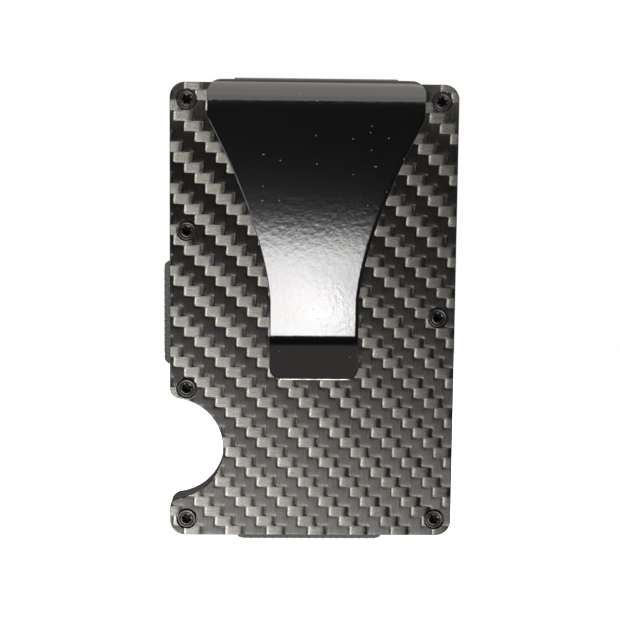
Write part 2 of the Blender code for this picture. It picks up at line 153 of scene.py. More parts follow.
TIP_HALF_WIDTH = 8.4 * MM
TIP_CORNER_R = 2.3 * MM

# Elastic
RIB_PITCH = 0.72 * MM
RIB_HEIGHT = 0.08 * MM
PICK_PITCH = 0.6 * MM
PICK_HEIGHT = 0.05 * MM
RIB_STEPS = 6
BAND_CORNER_R = 0.35 * MM
LONG_BRIDGE_NARROWING = 0.99 * MM
SIDE_BRIDGE_NARROWING = 1.0 * MM
LONG_BRIDGE_THICKNESS = 0.98 * MM
SIDE_BRIDGE_THICKNESS = 0.95 * MM
BAND_SIDE_POWER = 24
BAND_SIDE_LEAST = 0.35
LONG_BAND_X = -0.25 * MM
LONG_BAND_WIDTH = 28.4 * MM
SIDE_BAND_WIDTH = 20.1 * MM


# ---- making meshes

def grid_faces(rows, columns, closed_columns=False):
    """Quads of a grid whose point number is row times columns plus column."""
    row = np.arange(rows - 1)[:, None]
    column = np.arange(columns if closed_columns else columns - 1)[None, :]
    after = (column + 1) % columns
    corners = (row * columns + column, row * columns + after,
               (row + 1) * columns + after, (row + 1) * columns + column)
    return np.stack(corners, axis=-1).reshape(-1, 4)


def make_piece(name, points, faces, material=None, sharp=35):
    """A mesh object at the origin, from an array of points and a list of faces.

    Its faces are turned outwards, and edges steeper than the sharp angle stay crisp."""
    mesh = bpy.data.meshes.new(name)
    mesh.from_pydata(np.asarray(points).reshape(-1, 3).tolist(), [], [list(f) for f in faces])
    shell = bmesh.new()
    shell.from_mesh(mesh)
    bmesh.ops.recalc_face_normals(shell, faces=shell.faces)
    shell.to_mesh(mesh)
    shell.free()
    mesh.shade_smooth()
    mesh.set_sharp_from_angle(angle=math.radians(sharp))
    piece = bpy.data.objects.new(name, mesh)
    bpy.context.scene.collection.objects.link(piece)
    if material:
        mesh.materials.append(material)
    return piece


def set_values(piece, label, values):
    """Stores one number per point, which the materials read by its label."""
    values = np.asarray(values, float).ravel()
    piece.data.attributes.new(label, "FLOAT", "POINT").data.foreach_set("value", values)


def tube_faces(rings, around):
    """Faces of stacked closed rings, with the first and last ring filled."""
    faces = grid_faces(rings, around, closed_columns=True).tolist()
    faces.append(list(range(around))[::-1])
    faces.append(list(range((rings - 1) * around, rings * around)))
    return faces


def cut(piece, cutter, operation):
    """Applies a Boolean of two closed meshes to the piece and removes the cutter."""
    modifier = piece.modifiers.new("cut", "BOOLEAN")
    modifier.operation = operation
    modifier.solver = "MANIFOLD"
    modifier.object = cutter
    bpy.context.view_layer.update()
    shape = piece.evaluated_get(bpy.context.evaluated_depsgraph_get())
    mesh = bpy.data.meshes.new_from_object(shape)
    piece.modifiers.clear()
    piece.data = mesh
    bpy.data.objects.remove(cutter)


# ---- materials

# Pattern scales of the finishes, in grains per metre: 7000 is a grain of 0.14 mm
FILAMENTS = 6700
FILAMENT_STRETCH = 0.05
RESIN_GRIT = 7000
TOW_CLOUD = 260
PLY_THICKNESS = 0.24 * MM
BLASTED_GRAIN = 7000
ANODISED_CLOUD = 150
COATING_PEEL = 3000
COATING_WAVES = 950
OXIDE_GRAIN = 6000
OXIDE_WEAR = 1500
YARN = 9000
FLOOR_CLOUD = 40

# Settings that several nodes share
EASED = {"interpolation_type": "SMOOTHSTEP"}
COLOURS = {"data_type": "RGBA"}
TINTED = {"data_type": "RGBA", "blend_type": "MULTIPLY"}


def linear(hex_colour):
    """sRGB hex colour as linear RGBA."""
    parts = [int(hex_colour[i:i + 2], 16) / 255 for i in (1, 3, 5)]
    return tuple(c / 12.92 if c <= 0.04045 else ((c + 0.055) / 1.055) ** 2.4
                 for c in parts) + (1.0,)


def new_material(name):
    material = bpy.data.materials.new(name)
    material.use_nodes = True
    return material, material.node_tree, material.node_tree.nodes["Principled BSDF"]


def set_inputs(tree, node, inputs):
    """Sets inputs, by name or number, to values or to other nodes' outputs."""
    for key, value in inputs.items():
        if isinstance(value, bpy.types.NodeSocket):
            tree.links.new(value, node.inputs[key])
        else:
            node.inputs[key].default_value = value


def add_node(tree, kind, inputs=(), output=0, **settings):
    """Adds a shader node and returns one of its outputs. Inputs are a list in the node's
    own order, or a dictionary by name or number. Settings are the node's properties."""
    node = tree.nodes.new("ShaderNode" + kind)
    for key, value in settings.items():
        setattr(node, key, value)
    set_inputs(tree, node, inputs if isinstance(inputs, dict) else dict(enumerate(inputs)))
    return node.outputs[output]


def eased_product(tree, start, *shares):
    """The start times a share for each (value, low, high, share at low, share at high),
    where the share eases from one to the other and stays there."""
    for share in shares:
        share = add_node(tree, "MapRange", share, **EASED)
        start = add_node(tree, "Math", [start, share], operation="MULTIPLY")
    return start


def object_noise(tree, scale, per_axis=(1, 1, 1), detail=2.0, roughness=0.5):
    """Noise on Object coordinates; its grain is 1 / scale metres, stretched per axis."""
    place = add_node(tree, "TexCoord", output="Object")
    place = add_node(tree, "Mapping", {"Vector": place, "Scale": per_axis})
    return add_node(tree, "TexNoise", {"Vector": place, "Scale": scale, "Detail": detail,
                                       "Roughness": roughness}, "Fac")


def woven_carbon_fibre():
    """2/2 twill carbon fibre in satin epoxy: each tow gleams across its own fibres, so
    the cross tows look silver-grey and the upright tows nearly black, or the reverse as
    the light moves. The cut rim shows the thin plies."""
    material, tree, shader = new_material("woven_carbon_fibre_satin_epoxy")
    lead, crease_shade, lip = (add_node(tree, "Attribute", output="Fac", attribute_name=label)
                         for label in ("weft_lead", "crease_shade", "lip"))
    weft = add_node(tree, "MapRange", [lead, -0.06, 0.06, 0.0, 1.0], **EASED)
    # Filaments are 7 microns; they are drawn 0.15 mm wide and 3 mm long so that they show
    along_x = object_noise(tree, FILAMENTS, (FILAMENT_STRETCH, 1, 1), 3.0, 0.7)
    along_z = object_noise(tree, FILAMENTS, (1, 1, FILAMENT_STRETCH), 3.0, 0.7)
    fibres = add_node(tree, "Mix", {0: weft, 2: along_z, 3: along_x}, data_type="FLOAT")
    grit = object_noise(tree, RESIN_GRIT, roughness=0.6)
    cloud = object_noise(tree, TOW_CLOUD)

    # Painted light and shade in the tone: the lip paints a highlight on the left end of a cross
    # tow and the lower end of an upright one, and painted shade past a cross tow's right end; the
    # creases between tows get painted shade
    tone = eased_product(tree, 1.0, (fibres, 0.3, 0.7, 0.72, 1.22), (grit, 0.38, 0.62, 0.6, 1.4),
                         (cloud, 0.3, 0.7, 0.92, 1.08), (crease_shade, 0.0, 0.45, 0.62, 1.0),
                         (lip, 0.0, 1.0, 0.92, 1.75), (lip, -1.0, 0.0, 0.42, 1.0))
    # Painted light and shade: the same fibre gets a paler base colour in the cross tows than in
    # the upright tows
    warp_shade_colour, weft_lit_colour = linear("#272625"), linear("#363532")
    tow = add_node(tree, "Mix", {0: weft, 6: warp_shade_colour, 7: weft_lit_colour}, 2, **COLOURS)
    face = add_node(tree, "Mix", {0: 1.0, 6: tow, 7: tone}, 2, **TINTED)

    # The cut rim shows the plies, and the resin lines between them are paler
    place = add_node(tree, "TexCoord", output="Object")
    depth = add_node(tree, "SeparateXYZ", [place], "Y")
    plies = add_node(tree, "Math", [depth, 2 * math.pi / PLY_THICKNESS], operation="MULTIPLY")
    plies = add_node(tree, "Math", [plies], operation="SINE")
    plies = add_node(tree, "MapRange", [plies, 0.2, 1.0, 0.0, 1.0], **EASED)
    ply_colour, resin_colour = linear("#2c2826"), linear("#625a57")
    rim = add_node(tree, "Mix", {0: plies, 6: ply_colour, 7: resin_colour}, 2, **COLOURS)
    facing = add_node(tree, "SeparateXYZ", [place.node.outputs["Normal"]], "Y")
    facing = add_node(tree, "Math", [facing], operation="ABSOLUTE")
    facing = add_node(tree, "MapRange", [facing, 0.75, 0.92, 0.0, 1.0], **EASED)
    colour = add_node(tree, "Mix", {0: facing, 6: rim, 7: face}, 2, **COLOURS)

    # Cross tows gleam along x and upright tows along z
    tangent = add_node(tree, "Mix", {0: weft, 4: (1, 0, 0), 5: (0, 0, 1)}, 1, data_type="VECTOR")
    bump = add_node(tree, "Bump", {"Strength": 0.5, "Distance": 0.02 * MM, "Height": fibres})
    bump = add_node(tree, "Bump", {"Strength": 0.35, "Distance": 0.03 * MM, "Height": grit,
                                   "Normal": bump})
    rough = add_node(tree, "MapRange", [grit, 0.3, 0.7, 0.3, 0.37], **EASED)
    set_inputs(tree, shader, {"Base Color": colour, "Roughness": rough, "Metallic": 0.95,
                              "Anisotropic": 0.9, "Tangent": tangent, "Normal": bump})
    return material


def black_anodised_aluminium():
    """Bead-blasted, black anodised plate: an even, fine-grained dark grey."""
    material, tree, shader = new_material("black_anodised_bead_blasted_aluminium")
    grain = object_noise(tree, BLASTED_GRAIN, roughness=0.6)
    cloud = object_noise(tree, ANODISED_CLOUD)
    tone = eased_product(tree, 1.0, (grain, 0.3, 0.7, 0.8, 1.25), (cloud, 0.3, 0.7, 0.93, 1.07))
    colour = add_node(tree, "Mix", {0: 1.0, 6: linear("#4a4848"), 7: tone}, 2, **TINTED)
    bump = add_node(tree, "Bump", {"Strength": 0.4, "Distance": 0.02 * MM, "Height": grain})
    rough = add_node(tree, "MapRange", [grain, 0.3, 0.7, 0.38, 0.5], **EASED)
    set_inputs(tree, shader, {"Base Color": colour, "Metallic": 0.9, "Roughness": rough,
                              "Normal": bump})
    return material


def scattered_marks(tree, spacing, size, per_axis, share):
    """Small spots over the object's front view, 1 inside and 0 outside: cells of a
    Voronoi pattern as large as the spacing, of which a share holds one spot."""
    place = add_node(tree, "TexCoord", output="Object")
    x, y, z = add_node(tree, "SeparateXYZ", [place]).node.outputs
    x = add_node(tree, "Math", [x, per_axis[0]], operation="MULTIPLY")
    z = add_node(tree, "Math", [z, per_axis[1]], operation="MULTIPLY")
    place = add_node(tree, "CombineXYZ", [x, z])
    cells = add_node(tree, "TexVoronoi", {"Vector": place, "Scale": 1 / spacing}, "Distance",
                     voronoi_dimensions="2D")
    pick = add_node(tree, "SeparateColor", [cells.node.outputs["Color"]])
    pick = add_node(tree, "Math", [pick, share], operation="LESS_THAN")
    return eased_product(tree, pick, (cells, 0.5 * size / spacing, size / spacing, 1.0, 0.0))


def coated_spring_steel():
    """Gloss black coating baked on spring steel: deep black with crisp reflections that
    ripple slightly, as sprayed coats do, with a few dust specks and hairline scuffs. The
    edge of the lip is rubbed down to bare steel."""
    material, tree, shader = new_material("gloss_black_coated_spring_steel")
    peel = object_noise(tree, COATING_PEEL)
    waves = object_noise(tree, COATING_WAVES)
    dust = scattered_marks(tree, 3.3 * MM, 0.1 * MM, (1.0, 1.0), 0.16)
    scuffs = scattered_marks(tree, 2.6 * MM, 0.09 * MM, (0.25, 1.0), 0.1)
    scuffs = add_node(tree, "Math", [scuffs, 0.6], operation="MULTIPLY")
    marks = add_node(tree, "Math", [dust, scuffs], operation="MAXIMUM")
    worn = add_node(tree, "Attribute", output="Fac", attribute_name="worn")
    worn = eased_product(tree, 1.0, (worn, 0.3, 0.9, 0.0, 1.0), (waves, 0.3, 0.6, 0.4, 1.0))
    black, scuffed, bare = linear("#020202"), linear("#43413e"), linear("#8d827c")
    colour = add_node(tree, "Mix", {0: marks, 6: black, 7: scuffed}, 2, **COLOURS)
    colour = add_node(tree, "Mix", {0: worn, 6: colour, 7: bare}, 2, **COLOURS)
    bump = add_node(tree, "Bump", {"Distance": 0.009 * MM, "Height": waves})
    bump = add_node(tree, "Bump", {"Distance": 0.003 * MM, "Height": peel, "Normal": bump})
    rough = add_node(tree, "Math", [marks, 0.3, 0.09], operation="MULTIPLY_ADD")
    rough = add_node(tree, "Math", [worn, 0.3, rough], operation="MULTIPLY_ADD")
    set_inputs(tree, shader, {"Base Color": colour, "Roughness": rough, "Metallic": worn,
                              "Normal": bump})
    return material


def black_oxide_steel():
    """Black oxide on machined steel: soft dark sheen, paler where handling has rubbed it."""
    material, tree, shader = new_material("black_oxide_machined_steel")
    grain = object_noise(tree, OXIDE_GRAIN, roughness=0.6)
    wear = object_noise(tree, OXIDE_WEAR, detail=3.0, roughness=0.6)
    wear = add_node(tree, "MapRange", [wear, 0.55, 0.8, 0.0, 0.3], **EASED)
    # Painted shade: deep in the screw's socket the colour darkens to near black
    socket_shade = add_node(tree, "Attribute", output="Fac", attribute_name="socket_shade")
    socket_shade = add_node(tree, "MapRange", [socket_shade, 0.0, 0.8, 0.0, 1.0], **EASED)
    oxide, rubbed, shaded = linear("#1b1a1a"), linear("#4a4744"), linear("#030303")
    colour = add_node(tree, "Mix", {0: wear, 6: oxide, 7: rubbed}, 2, **COLOURS)
    colour = add_node(tree, "Mix", {0: socket_shade, 6: colour, 7: shaded}, 2, **COLOURS)
    bump = add_node(tree, "Bump", {"Strength": 0.3, "Distance": 0.01 * MM, "Height": grain})
    rough = add_node(tree, "MapRange", [grain, 0.3, 0.7, 0.24, 0.36], **EASED)
    set_inputs(tree, shader, {"Base Color": colour, "Metallic": 1.0, "Roughness": rough,
                              "Normal": bump})
    return material


def woven_elastic():
    """Black knitted elastic: matt ribs with a little sheen from the polyester yarn."""
    material, tree, shader = new_material("black_knitted_elastic")
    rib = add_node(tree, "Attribute", output="Fac", attribute_name="rib")
    rib = add_node(tree, "MapRange", [rib, 0.2, 1.0, 0.0, 1.0], **EASED)
    yarn = object_noise(tree, YARN, roughness=0.6)
    tone = add_node(tree, "MapRange", [yarn, 0.3, 0.7, 0.7, 1.35], **EASED)
    # Painted shade in the grooves between ribs and picks, and painted light on their crests
    groove, lit_crest = linear("#060606"), linear("#151414")
    colour = add_node(tree, "Mix", {0: rib, 6: groove, 7: lit_crest}, 2, **COLOURS)
    colour = add_node(tree, "Mix", {0: 1.0, 6: colour, 7: tone}, 2, **TINTED)
    bump = add_node(tree, "Bump", {"Strength": 0.6, "Distance": 0.03 * MM, "Height": yarn})
    set_inputs(tree, shader, {"Base Color": colour, "Roughness": 0.82, "Sheen Weight": 0.08,
                              "Sheen Roughness": 0.4, "Normal": bump})
    return material


CARBON = woven_carbon_fibre()
ANODISED = black_anodised_aluminium()
COATED = coated_spring_steel()
OXIDE = black_oxide_steel()
ELASTIC = woven_elastic()


# ---- outer plates

def arc(centre_x, centre_z, radius, start, end, steps):
    """Points of a circle between two angles in degrees, as rows of x and z."""
    angle = np.radians(np.linspace(start, end, steps + 1))
    return np.stack([centre_x + radius * np.cos(angle), centre_z + radius * np.sin(angle)], 1)


def plate_outline():
    """Rectangle with round corners and the filleted thumb notch, anticlockwise from the
    front. The notch is a circle about a point just inside the left edge, and a fillet
    touches both the circle and the edge above and below it."""
    r = CORNER_R
    notch_x = LEFT + NOTCH_INSET
    notch_z = BOTTOM + NOTCH_ABOVE_BOTTOM
    fillet_x = LEFT + NOTCH_FILLET_R
    rise = math.sqrt((NOTCH_R + NOTCH_FILLET_R) ** 2 - (fillet_x - notch_x) ** 2)
    lean = math.degrees(math.atan2(rise, fillet_x - notch_x))
    return np.concatenate([
        arc(RIGHT - r, BOTTOM + r, r, -90, 0, 16),
        arc(RIGHT - r, TOP - r, r, 0, 90, 16),
        arc(LEFT + r, TOP - r, r, 90, 180, 16),
        arc(fillet_x, notch_z + rise, NOTCH_FILLET_R, 180, 180 + lean, 16),
        arc(notch_x, notch_z, NOTCH_R, lean, -lean, 64)[1:-1],
        arc(fillet_x, notch_z - rise, NOTCH_FILLET_R, 180 - lean, 180, 16),
        arc(LEFT + r, BOTTOM + r, r, 180, 270, 16)])


def outline_normals(outline):
    """Outward direction at each point: the chord between its neighbours, turned right."""
    chord = np.roll(outline, -1, 0) - np.roll(outline, 1, 0)
    chord /= np.linalg.norm(chord, axis=1, keepdims=True)
    return np.stack([chord[:, 1], -chord[:, 0]], 1)


def rounded_slab(name, outline, y_sign, back, face, rim):
    """A solid with the outline and quarter-round rims at its back and its face.

    Each ring is the outline moved inwards by rim (1 - sin a) at a height rim (1 - cos a)
    below the face, for angles a from 0 to 90 degrees, and the same at the back."""
    angle = np.radians(np.linspace(0, 90, 5))
    inset = rim * (1 - np.sin(angle))
    level = face - rim * (1 - np.cos(angle))
    inset = np.concatenate([inset, inset[::-1]])
    level = np.concatenate([level, (back + face - level)[::-1]])
    normals = outline_normals(outline)
    flat = outline[None] - inset[:, None, None] * normals[None]
    y = np.broadcast_to(y_sign * level[:, None], flat.shape[:2])
    points = np.stack([flat[..., 0], y, flat[..., 1]], -1)
    return make_piece(name, points, tube_faces(len(inset), len(outline)))


def weave(x, z):
    """Twill at places x and z: how far the cross tow leads, the height, the painted shade in the
    creases and the lip, a painted highlight and painted shade at the tows' ends.

    Columns count along x and rows down z, one pitch each. A cross tow shows where
    column minus row, modulo 4, is 0 or 1, as a slightly leaning patch bounded by the
    curve |a|^7 + |b|^7 = 1, with a along the tow and b across it, and it leads by 1 less
    that sum. Upright tows show elsewhere, each for two rows. A tow's height falls with a
    power of the distance from its middle, so it lies flat and dives at its ends. The
    painted shade in the creases darkens where cross and upright tows meet and along the
    upright tows' sides. The lip is a painted highlight, 1 at the left end of a cross tow
    and less at the lower end of an upright one, and it is -1, painted shade, at the right
    end of a cross tow and just past it."""
    u = (x - LEFT - WEAVE_SHIFT_X) / COLUMN_PITCH
    v = (TOP - z - WEAVE_SHIFT_Z) / ROW_PITCH
    lead = np.full(u.shape, -9.0)
    cross = np.zeros(u.shape)
    end = np.zeros(u.shape)
    for nearby in (-1, 0, 1):
        row = np.floor(v) + nearby
        b = v - row - 0.5
        a = np.mod(u - row + WEFT_LEAN * b + 1, 4) - 2
        a = a / WEFT_HALF_LENGTH
        b = b / WEFT_HALF_WIDTH
        this = 1 - np.abs(a) ** PATCH_POWER - np.abs(b) ** PATCH_POWER
        dive = np.where(a > 0, WEFT_DIVE_RIGHT * np.minimum(a, PATCH_REACH) ** 3,
                        WEFT_DIVE_LEFT * np.minimum(-a, PATCH_REACH) ** 5)
        hump = 1 - dive - WEFT_DIVE_SIDES * np.minimum(np.abs(b), PATCH_REACH) ** 6
        cross = np.where(this > lead, hump, cross)
        end = np.where(this > lead, a, end)
        lead = np.maximum(lead, this)
    column = np.floor(u)
    across = 2 * (u - column - 0.5)
    along = np.mod(v - column, 4) - 2
    dive = np.where(along > 0, WARP_DIVE_BELOW, WARP_DIVE_ABOVE)
    dive = dive * np.minimum(np.abs(along), PATCH_REACH) ** PATCH_POWER
    upright = WARP_LEVEL - dive - WARP_DIVE_SIDES * np.abs(across) ** 6
    share = np.clip(lead / PATCH_EDGE + 0.5, 0, 1)
    share = share * share * (3 - 2 * share)
    height = share * cross + (1 - share) * upright
    # Painted shade: the tone darkens where cross and upright tows meet and along the upright
    # tows' sides
    crease_shade = np.minimum(np.abs(lead) * 1.4, 1 - 0.85 * (1 - share) * np.abs(across) ** 10)
    # Painted highlight at tow ends, and painted shade past a cross tow's right end
    cross_highlight = np.clip((-end - WEFT_LIP_FROM) / LIP_WIDTH, 0, 1)
    upright_highlight = WARP_LIP_HIGHLIGHT * np.clip((along - WARP_LIP_FROM) / LIP_WIDTH, 0, 1)
    end_shade = np.clip((end - END_SHADE_FROM) / END_SHADE_WIDTH, 0, 1) * np.clip(2 * lead + 3, 0, 1)
    lip = (share * cross_highlight + (1 - share) * upright_highlight) * (1 - end_shade) - end_shade
    return lead, np.clip(height, 0, 1), np.clip(crease_shade, 0, 1), lip


def weave_lines(first, pitch, low, high):
    """Grid lines along one axis: the same few steps in each pitch, closest at the tows'
    edges, from below the low end to past the high end."""
    count = np.arange(math.floor((low - first) / pitch), math.ceil((high - first) / pitch))
    lines = first + pitch * np.add.outer(count, np.array(WEAVE_STEPS)).ravel()
    return lines[(lines > low) & (lines < high)]


def woven_block(name, y_sign):
    """A block larger than the plate whose face is the twill's height at each grid point:
    y = face - relief (1 - height). Its back is one flat polygon, below the plate's."""
    margin = WEAVE_MARGIN
    x = weave_lines(LEFT + WEAVE_SHIFT_X, COLUMN_PITCH, LEFT - margin, RIGHT + margin)
    z = weave_lines(TOP - WEAVE_SHIFT_Z, ROW_PITCH, BOTTOM - margin, TOP + margin)
    x, z = np.meshgrid(x, z)
    height = weave(x, z)[1]
    y = y_sign * (FACE - WEAVE_RELIEF * (1 - height))
    face = np.stack([x, y, z], -1)
    rows, columns = x.shape
    number = np.arange(rows * columns).reshape(rows, columns)
    edge = np.concatenate([number[0, :-1], number[:-1, -1], number[-1, :0:-1], number[:0:-1, 0]])
    back = face.reshape(-1, 3)[edge].copy()
    back[:, 1] = y_sign * (BACK - margin)
    count = len(edge)
    behind = rows * columns + np.arange(count)
    sides = np.stack([edge, np.roll(edge, -1), np.roll(behind, -1), behind], -1)
    faces = grid_faces(rows, columns).tolist() + sides.tolist() + [behind.tolist()]
    return make_piece(name, np.concatenate([face.reshape(-1, 3), back]), faces)


def turned(profile, around, x, y_sign, z):
    """Rings of a profile of (radius, depth) pairs about a line along Y through x and z.

    Depth runs into the plate from its face. Points are x + r cos a and z + r sin a."""
    radius, depth = np.asarray(profile, float).T
    angle = np.linspace(0, 2 * np.pi, around, endpoint=False)
    across = x + radius[:, None] * np.cos(angle)
    up = z + radius[:, None] * np.sin(angle)
    y = np.broadcast_to(y_sign * (FACE - depth[:, None]), across.shape)
    return np.stack([across, y, up], -1)


def screw_centres(side):
    """Name and centre of each screw on one side, from the frame."""
    found = {}
    for place in SCREW_NAMES:
        low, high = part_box(f"{side}_screw_{place}")
        found[place] = ((low.x + high.x) / 2, (low.z + high.z) / 2)
    return found


def hole_cutter(side, y_sign):
    """Counterbore with an eased lip and a clearance hole through, at every screw."""
    past = 1.0 * MM
    floor = COUNTERBORE_DEPTH
    lip = COUNTERBORE_R + COUNTERBORE_LIP
    profile = [(lip, -past), (lip, 0.0),
               (COUNTERBORE_R + COUNTERBORE_LIP / 3, COUNTERBORE_LIP / 2),
               (COUNTERBORE_R, COUNTERBORE_LIP * 1.6), (COUNTERBORE_R, floor),
               (CLEARANCE_R, floor), (CLEARANCE_R, FACE - BACK + past)]
    around = 56
    points = []
    faces = []
    for x, z in screw_centres(side).values():
        start = len(points) * around * len(profile)
        points.append(turned(profile, around, x, y_sign, z))
        faces += [[i + start for i in face] for face in tube_faces(len(profile), around)]
    return make_piece("holes", np.stack(points), faces)


def tongue_pocket(y_sign):
    """Block that clears the clip's tongue behind the front plate, open at the top."""
    half = NECK_HALF_WIDTH + TONGUE_CLEARANCE
    low = Vector((CLIP_X - half, BACK - 1.0 * MM, TOP - TONGUE_LENGTH - TONGUE_CLEARANCE))
    high = Vector((CLIP_X + half, BACK + CLIP_THICKNESS + SEAT_CLEARANCE, TOP + 2.0 * MM))
    ring = [(low.x, low.z), (high.x, low.z), (high.x, high.z), (low.x, high.z)]
    points = [(x, y_sign * y, z) for y in (low.y, high.y) for x, z in ring]
    return make_piece("pocket", points, tube_faces(2, 4))


def outer_plate(side, y_sign):
    """Woven plate: the twill block trimmed to the outline, with its holes and pocket."""
    plate = woven_block(f"{side}_woven_plate", y_sign)
    slab = rounded_slab("outline", plate_outline(), y_sign, BACK, FACE + PLATE_PROUD, RIM_R)
    cut(plate, slab, "INTERSECT")
    cut(plate, hole_cutter(side, y_sign), "DIFFERENCE")
    if side == "front":
        cut(plate, tongue_pocket(y_sign), "DIFFERENCE")
    mesh = plate.data
    place = np.empty(len(mesh.vertices) * 3)
    mesh.vertices.foreach_get("co", place)
    place = place.reshape(-1, 3)
    lead, height, crease_shade, lip = weave(place[:, 0], place[:, 2])
    for label, values in (("weft_lead", lead), ("crease_shade", crease_shade), ("lip", lip)):
        set_values(plate, label, values)
    mesh.materials.clear()
    mesh.materials.append(CARBON)
    mesh.shade_smooth()
    mesh.set_sharp_from_angle(angle=math.radians(35))
    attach(plate, f"{side}_half")
    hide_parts(f"{side}_outer_plate")
    return plate


# ---- screws

def screw_profile():
    """Half section from the middle of the socket's floor out over the head and down the
    threaded shank: radius, depth below the plate's face, and 1 where lobes apply."""
    low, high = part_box("front_screw_top_left")
    top = FACE + low.y
    bottom = FACE + high.y
    floor = top + SOCKET_DEPTH
    rows = [(0.0, floor + 0.06 * MM, 0), (SOCKET_R * 0.5, floor + 0.04 * MM, 1),
            (SOCKET_R * 0.96, floor, 1), (SOCKET_R, floor - 0.04 * MM, 1),
            (SOCKET_R, top + 0.13 * MM, 1), (SOCKET_R + 0.03 * MM, top + 0.08 * MM, 1),
            (SOCKET_R + 0.14 * MM, top + 0.03 * MM, 0.5),
            (SOCKET_R + 0.2 * MM, top + 0.02 * MM, 0)]
    groove = HEAD_GROOVE_R
    rows += [(groove - HEAD_GROOVE, top + 0.02 * MM, 0), (groove, top + 0.05 * MM, 0),
             (groove + HEAD_GROOVE, top + 0.02 * MM, 0), (groove + 2 * HEAD_GROOVE, top, 0)]
    edge = HEAD_EDGE_R
    for share in np.linspace(0, 1, 6):
        angle = share * math.pi / 2
        rows.append((HEAD_R - edge + edge * math.sin(angle),
                     top + edge * (1 - math.cos(angle)), 0))
    seat = top + HEAD_THICKNESS
    rows += [(HEAD_R, seat - 0.05 * MM, 0), (HEAD_R - 0.05 * MM, seat, 0), (SHANK_R, seat, 0)]
    turns = int((bottom - seat - 0.3 * MM) / THREAD_PITCH)
    for i in range(turns):
        start = seat + 0.1 * MM + i * THREAD_PITCH
        rows += [(SHANK_R, start, 0), (SHANK_R - THREAD_DEPTH, start + THREAD_PITCH / 2, 0)]
    rows += [(SHANK_R, bottom - 0.12 * MM, 0), (SHANK_R - 0.12 * MM, bottom, 0), (0.0, bottom, 0)]
    return np.array(rows)


def screw(side, y_sign, place, x, z, turn):
    """Low-headed screw: rings r = profile + lobe cos 6a about the axis, where the lobe
    counts only in the six-lobed socket. The turn is how far the socket is rotated."""
    profile = screw_profile()
    around = 72
    angle = np.linspace(0, 2 * np.pi, around, endpoint=False)
    radius, depth, lobed = profile[1:-1].T
    lobe = SOCKET_LOBE * np.cos(SOCKET_LOBES * (angle - turn))[None, :]
    ring = radius[:, None] + lobed[:, None] * lobe * (radius / SOCKET_R)[:, None]
    y = np.broadcast_to(y_sign * (FACE - depth[:, None]), ring.shape)
    points = np.stack([x + ring * np.cos(angle), y, z + ring * np.sin(angle)], -1)
    poles = [(x, y_sign * (FACE - profile[0, 1]), z), (x, y_sign * (FACE - profile[-1, 1]), z)]
    count = len(radius) * around
    faces = grid_faces(len(radius), around, closed_columns=True).tolist()
    last = count - around
    for i in range(around):
        after = (i + 1) % around
        faces.append([count, after, i])
        faces.append([count + 1, last + i, last + after])
    made = make_piece(f"{side}_screw_detailed_{place}",
                      np.concatenate([points.reshape(-1, 3), poles]), faces, OXIDE, 42)
    # Painted shade, 1 deep in the socket, which the material darkens
    socket_shade = np.clip((depth - profile[:, 1].min() - 0.1 * MM) / (0.25 * MM), 0, 1)
    socket_shade = np.where(radius < SOCKET_R + 0.01 * MM, socket_shade, 0.0)
    set_values(made, "socket_shade", np.append(np.repeat(socket_shade, around), [1.0, 0.0]))
    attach(made, f"{side}_half")
    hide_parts(f"{side}_screw_{place}")
    return made


# ---- clip

def follow(start, heading, stretches, step=0.01 * MM):
    """Centre line of bent sheet as arrays of distance, y, z and heading.

    Each stretch is a length and the angle it turns through; heading grows evenly along
    it, and y and z are running sums of its cosine and sine."""
    headings = [np.array([heading])]
    lengths = [np.array([0.0])]
    for length, turn in stretches:
        count = max(2, int(round(length / step)))
        share = (np.arange(count) + 1) / count
        lengths.append(np.full(count, length / count))
        headings.append(headings[-1][-1] + turn * share)
    length = np.concatenate(lengths)
    angle = np.concatenate(headings)
    middle = (angle + np.roll(angle, 1)) / 2
    middle[0] = angle[0]
    y = start[0] + np.cumsum(length * np.cos(middle))
    z = start[1] + np.cumsum(length * np.sin(middle))
    return np.cumsum(length), y, z, angle


def clip_stretches(lean):
    """Tongue, neck bend, front bend, bowed arm, kick and flared lip: length and turn."""
    quarter = math.pi / 2
    tongue = TONGUE_LENGTH + NECK_RISE - CLIP_THICKNESS / 2 - NECK_BEND_R
    kick = lean + ARM_BOW + LIP_FLARE
    return [(tongue, 0.0), (NECK_BEND_R * quarter, quarter),
            (FRONT_BEND_R * (quarter + lean), quarter + lean), (ARM_LENGTH, ARM_BOW),
            (KICK_R * kick, -kick), (LIP_LENGTH, 0.0)]


def clip_line():
    """The clip's centre line, at the lean that makes its kick just clear the plate."""
    start = (-(BACK + CLIP_THICKNESS / 2), TOP - TONGUE_LENGTH)
    target = -(FACE + CLIP_CONTACT_GAP + CLIP_THICKNESS / 2)
    low, high = math.radians(-10), math.radians(25)
    for _ in range(30):
        lean = (low + high) / 2
        distance, y, z, angle = follow(start, math.pi / 2, clip_stretches(lean), 0.1 * MM)
        if y[z < MIDDLE_Z].max() > target:
            high = lean
        else:
            low = lean
    ends = np.cumsum([length for length, turn in clip_stretches(lean)])
    return follow(start, math.pi / 2, clip_stretches(lean)), ends


